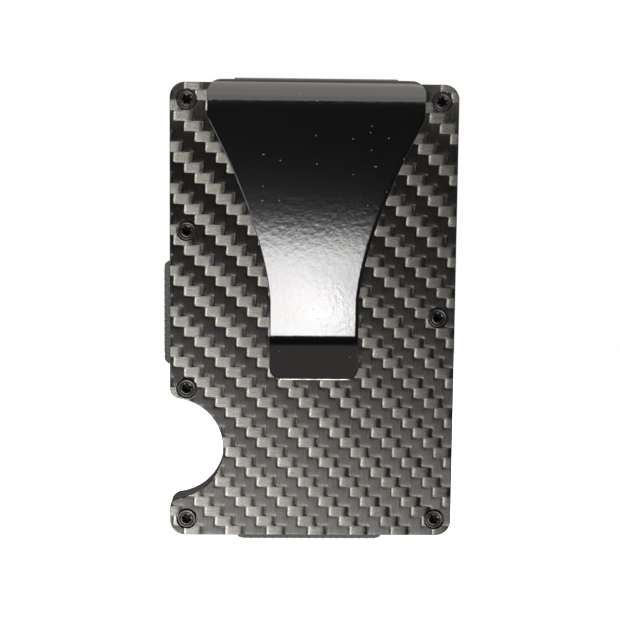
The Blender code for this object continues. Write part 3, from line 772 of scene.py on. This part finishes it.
def clip_half_width(z, past_top, tip_z):
    """Half width at a height: the neck, then from the shoulder the round-cornered head,
    the taper tip + (head - tip)(1 - share)^power, and the round-cornered tip."""
    shoulder = TOP + SHOULDER_RISE
    neck = NECK_HALF_WIDTH - np.clip((z - shoulder) / SHOULDER_STEP, 0, 1) * SHOULDER_STEP
    neck = np.where(past_top, neck, NECK_HALF_WIDTH)
    share = np.clip((TOP - z - TAPER_START) / (TAPER_END - TAPER_START), 0, 1)
    body = TIP_HALF_WIDTH + (HEAD_HALF_WIDTH - TIP_HALF_WIDTH) * (1 - share) ** TAPER_POWER
    rise = np.clip(z - (shoulder - HEAD_CORNER_R), 0, HEAD_CORNER_R)
    body = body - HEAD_CORNER_R + np.sqrt(HEAD_CORNER_R ** 2 - rise ** 2)
    fall = np.clip(tip_z + TIP_CORNER_R - z, 0, TIP_CORNER_R)
    body = body - TIP_CORNER_R + np.sqrt(np.maximum(TIP_CORNER_R ** 2 - fall ** 2, 0))
    return np.where(past_top & (z <= shoulder), body, neck)


def clip_rows(distance, z, ends):
    """Where along the centre line the rows lie: evenly on each stretch, closer together
    at the shoulder, round the head's corners and round the tip's corners."""
    down = np.argmax(z)

    def at_height(height):
        return np.interp(-np.asarray(height), -z[down:], distance[down:])

    shoulder = TOP + SHOULDER_RISE
    quarter = np.radians(np.linspace(0, 90, 15))
    corner = at_height(shoulder - HEAD_CORNER_R * (1 - np.sin(quarter)))
    tip_z = z[-1]
    tip = at_height(tip_z + TIP_CORNER_R * (1 - np.sin(quarter)))
    end_round = CLIP_EDGE_R * (1 - np.sin(np.radians(np.linspace(0, 90, 5))))
    just_above = at_height(shoulder) - 0.004 * MM
    rows = np.concatenate([
        end_round, np.linspace(CLIP_EDGE_R, ends[0], 8), np.linspace(ends[0], ends[1], 10),
        np.linspace(ends[1], ends[2], 44), np.linspace(ends[2], ends[3], 70),
        np.linspace(ends[3], ends[4], 14), np.linspace(ends[4], ends[5] - CLIP_EDGE_R, 14),
        ends[5] - end_round, corner, [just_above], tip])
    rows = np.unique(np.round(rows, 8))
    return rows[np.concatenate([[True], np.diff(rows) > 0.002 * MM])]


def money_clip():
    """One bent sheet of spring steel with eased edges.

    Row i stands at distance i along the centre line, and is a loop round the sheet's
    section: along the front, round an edge's two quarter circles, back along the rear and
    round the other edge. A point's x is the centre plus its place across, and its (y, z)
    is the line's plus its lift times the sheet's normal."""
    (distance, y, z, angle), ends = clip_line()
    rows = clip_rows(distance, z, ends)
    row_y, row_z, row_angle = (np.interp(rows, distance, values) for values in (y, z, angle))
    past_top = rows > distance[np.argmax(z)]
    half_width = clip_half_width(row_z, past_top, z[-1])
    from_end = np.minimum(rows, ends[-1] - rows)
    short = CLIP_EDGE_R - np.sqrt(np.maximum(
        CLIP_EDGE_R ** 2 - np.maximum(CLIP_EDGE_R - from_end, 0) ** 2, 0))
    half_thickness = CLIP_THICKNESS / 2 - short

    # Neighbouring stretches share a point, but not in the left edge, which stays crisp
    across = np.linspace(-1, 1, 33)
    bend = np.radians(np.linspace(0, 90, 5))
    rest = bend[1:]
    flat = np.concatenate([across, np.ones(8), across[-2::-1], -np.ones(9)])
    out = np.concatenate([0 * across, np.sin(rest), np.cos(rest), 0 * across[1:],
                          -np.sin(rest), -np.cos(bend)])
    level = np.concatenate([0 * across + 1, np.cos(rest), -np.sin(rest), 0 * across[1:] - 1,
                            -np.cos(rest), np.sin(bend)])
    edge = np.minimum(CLIP_EDGE_R, half_thickness)[:, None]
    side = half_width[:, None] - edge
    x = CLIP_X + flat * side + out * edge
    lift = level * edge + np.where(level >= 0, 1, -1) * (half_thickness[:, None] - edge)
    points = np.stack([x, row_y[:, None] + lift * np.sin(row_angle)[:, None],
                       row_z[:, None] - lift * np.cos(row_angle)[:, None]], -1)
    piece = make_piece("money_clip_sheet", points, tube_faces(len(rows), x.shape[1]), COATED, 35)
    worn = np.clip(1 - (ends[-1] - rows) / (1.3 * CLIP_EDGE_R), 0, 1)
    set_values(piece, "worn", np.repeat(worn, x.shape[1]))
    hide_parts("clip_neck", "clip_arm")
    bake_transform(piece)
    return piece


# ---- elastic

def band_loop(near, far_low, far_high, corner, thickness_low, thickness_high):
    """Centre line round both halves as arrays: across y, along, and half thickness.

    It is a rectangle from -near to near and from far_low to far_high with round corners;
    half thickness changes evenly from the low end to the high end."""
    quarter = np.radians(np.linspace(0, 90, 9))
    short = np.linspace(-near + corner, near - corner, 15)
    long = np.linspace(far_low + corner, far_high - corner, 26)
    y = np.concatenate([short, near - corner + corner * np.sin(quarter), near + 0 * long,
                        near - corner + corner * np.cos(quarter)])
    along = np.concatenate([far_low + 0 * short, far_low + corner - corner * np.cos(quarter),
                            long, far_high - corner + corner * np.sin(quarter)])
    # The second half is the first one turned about the loop's middle
    y = np.concatenate([y, -y])
    along = np.concatenate([along, far_low + far_high - along])
    keep = np.hypot(y - np.roll(y, 1), along - np.roll(along, 1)) > 1e-7
    y, along = y[keep], along[keep]
    share = (along - far_low) / (far_high - far_low)
    return y, along, (thickness_low + (thickness_high - thickness_low) * share) / 2


def ribbed_section(width):
    """Half of a ribbed strip's section: places across the width and the ribs' height
    there, |sin|^0.7 of pi times the place counted in ribs, so they meet in grooves."""
    count = int(round(width / RIB_PITCH))
    across = np.linspace(-width / 2, width / 2, count * RIB_STEPS + 1)
    rib = np.abs(np.sin(np.pi * count * (across / width + 0.5))) ** 0.7
    return across, rib


def lengthwise_elastic():
    """Wide band that runs round both inner plates in their channels.

    Points are the loop's centre line moved along its normal by half the thickness, less
    the grooves between ribs and between picks; ribs run along the band. The band narrows
    where it bridges the gap, with the slope of the bridging pieces."""
    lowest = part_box("lengthwise_elastic_bottom")[0].z
    top_low, top_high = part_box("lengthwise_elastic_top")
    run_low, run_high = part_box("lengthwise_elastic_front")
    near = -(run_low.y + run_high.y) / 2
    thick_low = LONG_BRIDGE_THICKNESS
    thick_high = top_high.z - top_low.z
    y, z, half = band_loop(near, lowest + thick_low / 2, top_high.z - thick_high / 2,
                           BAND_CORNER_R, thick_low, thick_high)
    past_bottom = np.maximum(BOTTOM - z, 0) / (BOTTOM - lowest)
    past_top = np.maximum(z - TOP, 0) / (top_high.z - TOP)
    narrow = LONG_BRIDGE_NARROWING * np.clip(past_bottom + past_top, 0, 1)
    in_run = (z > BOTTOM) & (z < TOP)
    half = np.where(in_run, (run_high.y - run_low.y) / 2, half)
    return ribbed_band("lengthwise_elastic", y, z, half, narrow, LONG_BAND_WIDTH,
                       lambda a, p, q: (LONG_BAND_X + a, p, q), [
                           "lengthwise_elastic_front", "lengthwise_elastic_back",
                           "lengthwise_elastic_top", "lengthwise_elastic_bottom"])


def side_elastic():
    """Narrower band that joins both halves across the left edge, sewn flat in each
    channel. It is a closed strip that turns back on itself at its inner ends."""
    bridge_low, bridge_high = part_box("side_elastic_bridge")
    run_low, run_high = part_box("side_elastic_front")
    near = -(run_low.y + run_high.y) / 2
    half_run = (run_high.y - run_low.y) / 2
    thick = SIDE_BRIDGE_THICKNESS
    edge = bridge_low.x + thick / 2
    quarter = np.radians(np.linspace(0, 90, 9))
    corner = BAND_CORNER_R
    short = np.linspace(-near + corner, near - corner, 15)
    inward = np.linspace(edge + corner, run_high.x, 14)
    y = np.concatenate([np.full(14, -near), -near + corner - corner * np.sin(quarter[::-1]),
                        short, near - corner + corner * np.sin(quarter), np.full(14, near)])
    x = np.concatenate([inward[::-1], edge + corner - corner * np.cos(quarter[::-1]),
                        np.full(15, edge), edge + corner - corner * np.cos(quarter), inward])
    keep = np.concatenate([[True], np.hypot(np.diff(y), np.diff(x)) > 1e-7])
    y, x = y[keep], x[keep]
    half = np.where(x > LEFT + 0.1 * MM, half_run, thick / 2)
    past = np.clip((LEFT - x) / (LEFT - bridge_low.x), 0, 1)
    middle = (run_low.z + run_high.z) / 2
    narrow = SIDE_BRIDGE_NARROWING * past
    return ribbed_band("side_elastic", y, x, half, narrow, SIDE_BAND_WIDTH,
                       lambda a, p, q: (q, p, middle + a), [
                           "side_elastic_front", "side_elastic_back", "side_elastic_bridge"],
                       closed=False)


def ribbed_band(name, line_y, line_q, half, narrow, width, place, nodes, closed=True):
    """A ribbed band along a centre line in the plane of Y and one other axis, q.

    The line's normal is its tangent turned by a right angle. The outer skin lies half a
    thickness out, less the grooves between ribs and between picks, and the inner skin as
    far in. They come closer along the band's long edges. The place function turns
    (across, y, q) to (x, y, z)."""
    across, rib = ribbed_section(width)
    if closed:
        ahead_y, ahead_q = np.roll(line_y, -1), np.roll(line_q, -1)
        behind_y, behind_q = np.roll(line_y, 1), np.roll(line_q, 1)
    else:
        ahead_y, ahead_q = np.append(line_y[1:], line_y[-1]), np.append(line_q[1:], line_q[-1])
        behind_y = np.append(line_y[0], line_y[:-1])
        behind_q = np.append(line_q[0], line_q[:-1])
    tangent_y, tangent_q = ahead_y - behind_y, ahead_q - behind_q
    size = np.hypot(tangent_y, tangent_q)
    normal_y, normal_q = tangent_q / size, -tangent_y / size
    step = np.hypot(line_y - behind_y, line_q - behind_q)
    travel = np.cumsum(step)
    phase = np.pi * travel[:, None] / PICK_PITCH
    number = np.floor((across / width + 0.5) * round(width / RIB_PITCH))
    pick = np.abs(np.sin(phase + np.pi / 2 * (number % 2)[None, :]))
    skin = half[:, None] - RIB_HEIGHT * (1 - rib)[None, :] - PICK_HEIGHT * (1 - pick)
    shrink = 1 - 2 * narrow[:, None] / width
    edge = np.sqrt(np.clip(1 - (np.abs(across) / (width / 2)) ** BAND_SIDE_POWER, 0, 1))
    outer = skin * np.maximum(edge, BAND_SIDE_LEAST)[None, :]
    inner = -outer
    a = np.concatenate([across, across[::-1]])[None, :] * shrink
    lift = np.concatenate([outer, inner[:, ::-1]], 1)
    p = line_y[:, None] + lift * normal_y[:, None]
    q = line_q[:, None] + lift * normal_q[:, None]
    x, y, z = (np.broadcast_to(values, p.shape) for values in place(a, p, q))
    points = np.stack([x, y, z], -1)
    rows, columns = p.shape
    if closed:
        faces = grid_faces(rows + 1, columns, closed_columns=True) % (rows * columns)
    else:
        faces = tube_faces(rows, columns)
    piece = make_piece(name, points, faces, ELASTIC, 60)
    # The rib values place the elastic's painted groove shade and crest light
    both_ribs = np.concatenate([rib, rib[::-1]])[None, :]
    set_values(piece, "rib", both_ribs * np.concatenate([pick, pick[:, ::-1]], 1))
    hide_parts(*nodes)
    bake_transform(piece)
    return piece


# ---- build the object

for side, y_sign in (("front", -1.0), ("back", 1.0)):
    outer_plate(side, y_sign)
    for number, (place, (x, z)) in enumerate(screw_centres(side).items()):
        screw(side, y_sign, place, x, z, turn=SOCKET_TURN * number)
    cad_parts[f"{side}_inner_plate"].data.materials.clear()
    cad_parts[f"{side}_inner_plate"].data.materials.append(ANODISED)
money_clip()
lengthwise_elastic()
side_elastic()


# ---- stage, light and camera


def heights(low, high):
    """Two heights in degrees above the horizon, as the z of a direction."""
    return math.sin(math.radians(low)), math.sin(math.radians(high))


def bearings(low, high):
    """Two bearings in degrees from straight ahead of the front face, growing to the right,
    as radians."""
    return math.radians(low), math.radians(high)


# Where the soft edges of the room's lights start and end
WINDOW_FOOT = heights(-50, -32)
WINDOW_TOP = heights(-13.6, -10.5)
WINDOW_LOWER_PART = heights(-27, -17)
WINDOW_LEFT = bearings(-34, -20)
WINDOW_RIGHT = bearings(2.8, 6.4)
WINDOW_LEFT_PART = bearings(-13, 1)
BEHIND_FROM = bearings(100, 130)
RIGHT_WALL_FROM = bearings(50, 75)
RIGHT_WALL_TO = bearings(105, 130)

WINDOW_RADIANCE = 24.5
WINDOW_CLOTH_SCALE = 38.0
LEFT_RADIANCE = 1.5
BEHIND_RADIANCE = 2.5
RIGHT_WALL_RADIANCE = 1.1
ROOM_RADIANCE = 0.04
CEILING_RADIANCE = 0.68
REAR_WALL_RADIANCE = 0.2
ROOM_TINT = (1.0, 0.955, 0.92, 1.0)
WINDOW_TINT = (1.0, 0.992, 0.985, 1.0)

CAMERA_DISTANCE = 250 * MM
CAMERA_AZIMUTH = math.radians(1.58)
CAMERA_ELEVATION = math.radians(6.04)
CAMERA_ROLL = math.radians(0.58)
CAMERA_FOV = math.radians(26.4)
AIM = Vector((-0.53 * MM, -FACE, MIDDLE_Z + 0.60 * MM))


def floor():
    """Pale studio floor, bright enough to wash out its own shadows."""
    material, tree, shader = new_material("pale_matt_floor")
    grain = object_noise(tree, FLOOR_CLOUD)
    shade, pale = linear("#f4f4f4"), linear("#fafafa")
    colour = add_node(tree, "Mix", {0: grain, 6: shade, 7: pale}, 2, **COLOURS)
    set_inputs(tree, shader, {"Base Color": colour, "Roughness": 0.9,
                              "Emission Color": (1.0, 1.0, 1.0, 1.0), "Emission Strength": 1.0})
    half_x, front, back = 260 * MM, -230 * MM, 260 * MM
    points = [(-half_x, front, 0), (half_x, front, 0), (half_x, back, 0), (-half_x, back, 0)]
    plane = make_piece("floor", points, [(0, 1, 2, 3)], material)
    if plane.data.polygons[0].normal.z < 0:
        plane.data.flip_normals()
    plane.visible_diffuse = False
    plane.visible_glossy = False
    plane.visible_shadow = False


def softbox(name, centre, aim, width, height, radiance, colour):
    """Rectangular area light that shows in reflections but not to the camera.

    A lamp's power is its radiance times pi times its area."""
    light = bpy.data.lights.new(name, "AREA")
    light.shape = "RECTANGLE"
    light.size = width
    light.size_y = height
    light.energy = radiance * math.pi * width * height
    light.color = colour
    lamp = bpy.data.objects.new(name, light)
    lamp.location = centre
    lamp.rotation_euler = (Vector(aim) - Vector(centre)).to_track_quat("-Z", "Y").to_euler()
    lamp.visible_camera = False
    bpy.context.scene.collection.objects.link(lamp)
    return lamp


def studio_world():
    """White where the camera looks past the object. For light and reflections it is a dim
    room with a paler ceiling, a bright low window in front, whose upper edge is 12 degrees
    below the horizon, two softer windows of the same height at the left and behind, and a
    dim wall at the right."""
    world = bpy.data.worlds.new("studio")
    world.use_nodes = True
    tree = world.node_tree
    tree.nodes.clear()
    direction = add_node(tree, "TexCoord", output="Generated")
    x, y, z = add_node(tree, "SeparateXYZ", [direction]).node.outputs
    ahead = add_node(tree, "Math", [y, -1.0], operation="MULTIPLY")
    turn = add_node(tree, "Math", [x, ahead], operation="ARCTAN2")

    # The front window's diffuser cloth is slightly uneven, which the coating's ripple
    # picks up, and it is brighter towards its foot and its left end
    cloth = add_node(tree, "TexNoise", {"Vector": direction, "Scale": WINDOW_CLOTH_SCALE,
                                        "Detail": 3.0}, "Fac")
    front = eased_product(tree, WINDOW_RADIANCE, (turn, *WINDOW_LEFT, 0.0, 1.0),
                          (turn, *WINDOW_RIGHT, 1.0, 0.0), (cloth, 0.34, 0.66, 0.55, 1.3),
                          (z, *WINDOW_LOWER_PART, 1.9, 1.0),
                          (turn, *WINDOW_LEFT_PART, 1.5, 0.95))
    left = eased_product(tree, LEFT_RADIANCE, (turn, *WINDOW_LEFT, 1.0, 0.0))
    behind = eased_product(tree, BEHIND_RADIANCE, (turn, *BEHIND_FROM, 0.0, 1.0))
    windows = add_node(tree, "Math", [front, left], operation="ADD")
    windows = add_node(tree, "Math", [windows, behind], operation="ADD")
    windows = eased_product(tree, windows, (z, *WINDOW_TOP, 1.0, 0.0),
                            (z, *WINDOW_FOOT, 0.15, 1.0))

    room = add_node(tree, "MapRange", [z, 0.3, 0.5, ROOM_RADIANCE, CEILING_RADIANCE], **EASED)
    rear = eased_product(tree, REAR_WALL_RADIANCE, (y, 0.8, 0.95, 0.0, 1.0),
                         (z, -0.1, 0.0, 0.0, 1.0))
    right = eased_product(tree, RIGHT_WALL_RADIANCE, (turn, *RIGHT_WALL_FROM, 0.0, 1.0),
                          (turn, *RIGHT_WALL_TO, 1.0, 0.0))
    light = windows
    for part in (room, rear, right):
        light = add_node(tree, "Math", [light, part], operation="ADD")
    share = add_node(tree, "MapRange", [windows, 0.0, 1.0, 0.0, 1.0], **EASED)
    tint = add_node(tree, "Mix", {0: share, 6: ROOM_TINT, 7: WINDOW_TINT}, 2, **COLOURS)

    room_light = add_node(tree, "Background", [tint, light])
    white = add_node(tree, "Background", [(1, 1, 1, 1), 1.0])
    camera_ray = add_node(tree, "LightPath", output="Is Camera Ray")
    both = add_node(tree, "MixShader", [camera_ray, room_light, white])
    out = tree.nodes.new("ShaderNodeOutputWorld")
    tree.links.new(both, out.inputs["Surface"])
    world.cycles.sampling_method = "MANUAL"
    world.cycles.sample_map_resolution = 1024
    bpy.context.scene.world = world


def camera():
    """Camera in front, slightly left and above, aimed at the front plate's face."""
    az, el = CAMERA_AZIMUTH, CAMERA_ELEVATION
    forward = Vector((math.sin(az) * math.cos(el), math.cos(az) * math.cos(el), -math.sin(el)))
    side = forward.cross(Vector((0, 0, 1))).normalized()
    up = side.cross(forward)
    right = side * math.cos(CAMERA_ROLL) + up * math.sin(CAMERA_ROLL)
    up = right.cross(forward)
    turn = Matrix((right, up, -forward)).transposed()
    data = bpy.data.cameras.new("camera")
    data.sensor_width = 36
    data.lens = 18 / math.tan(CAMERA_FOV / 2)
    data.clip_start = 1 * MM
    seen = bpy.data.objects.new("camera", data)
    seen.matrix_world = Matrix.Translation(AIM - forward * CAMERA_DISTANCE) @ turn.to_4x4()
    bpy.context.scene.collection.objects.link(seen)
    bpy.context.scene.camera = seen


floor()
studio_world()
camera()
# The brow light, close over the clip's bend, gives the bend its even grey
softbox("brow_light", (0.0, -16 * MM, 112 * MM), (0.0, 10 * MM, 86 * MM), 260 * MM, 80 * MM,
        2.9, (1.0, 0.96, 0.925))
bpy.context.scene.view_settings.view_transform = "Standard"
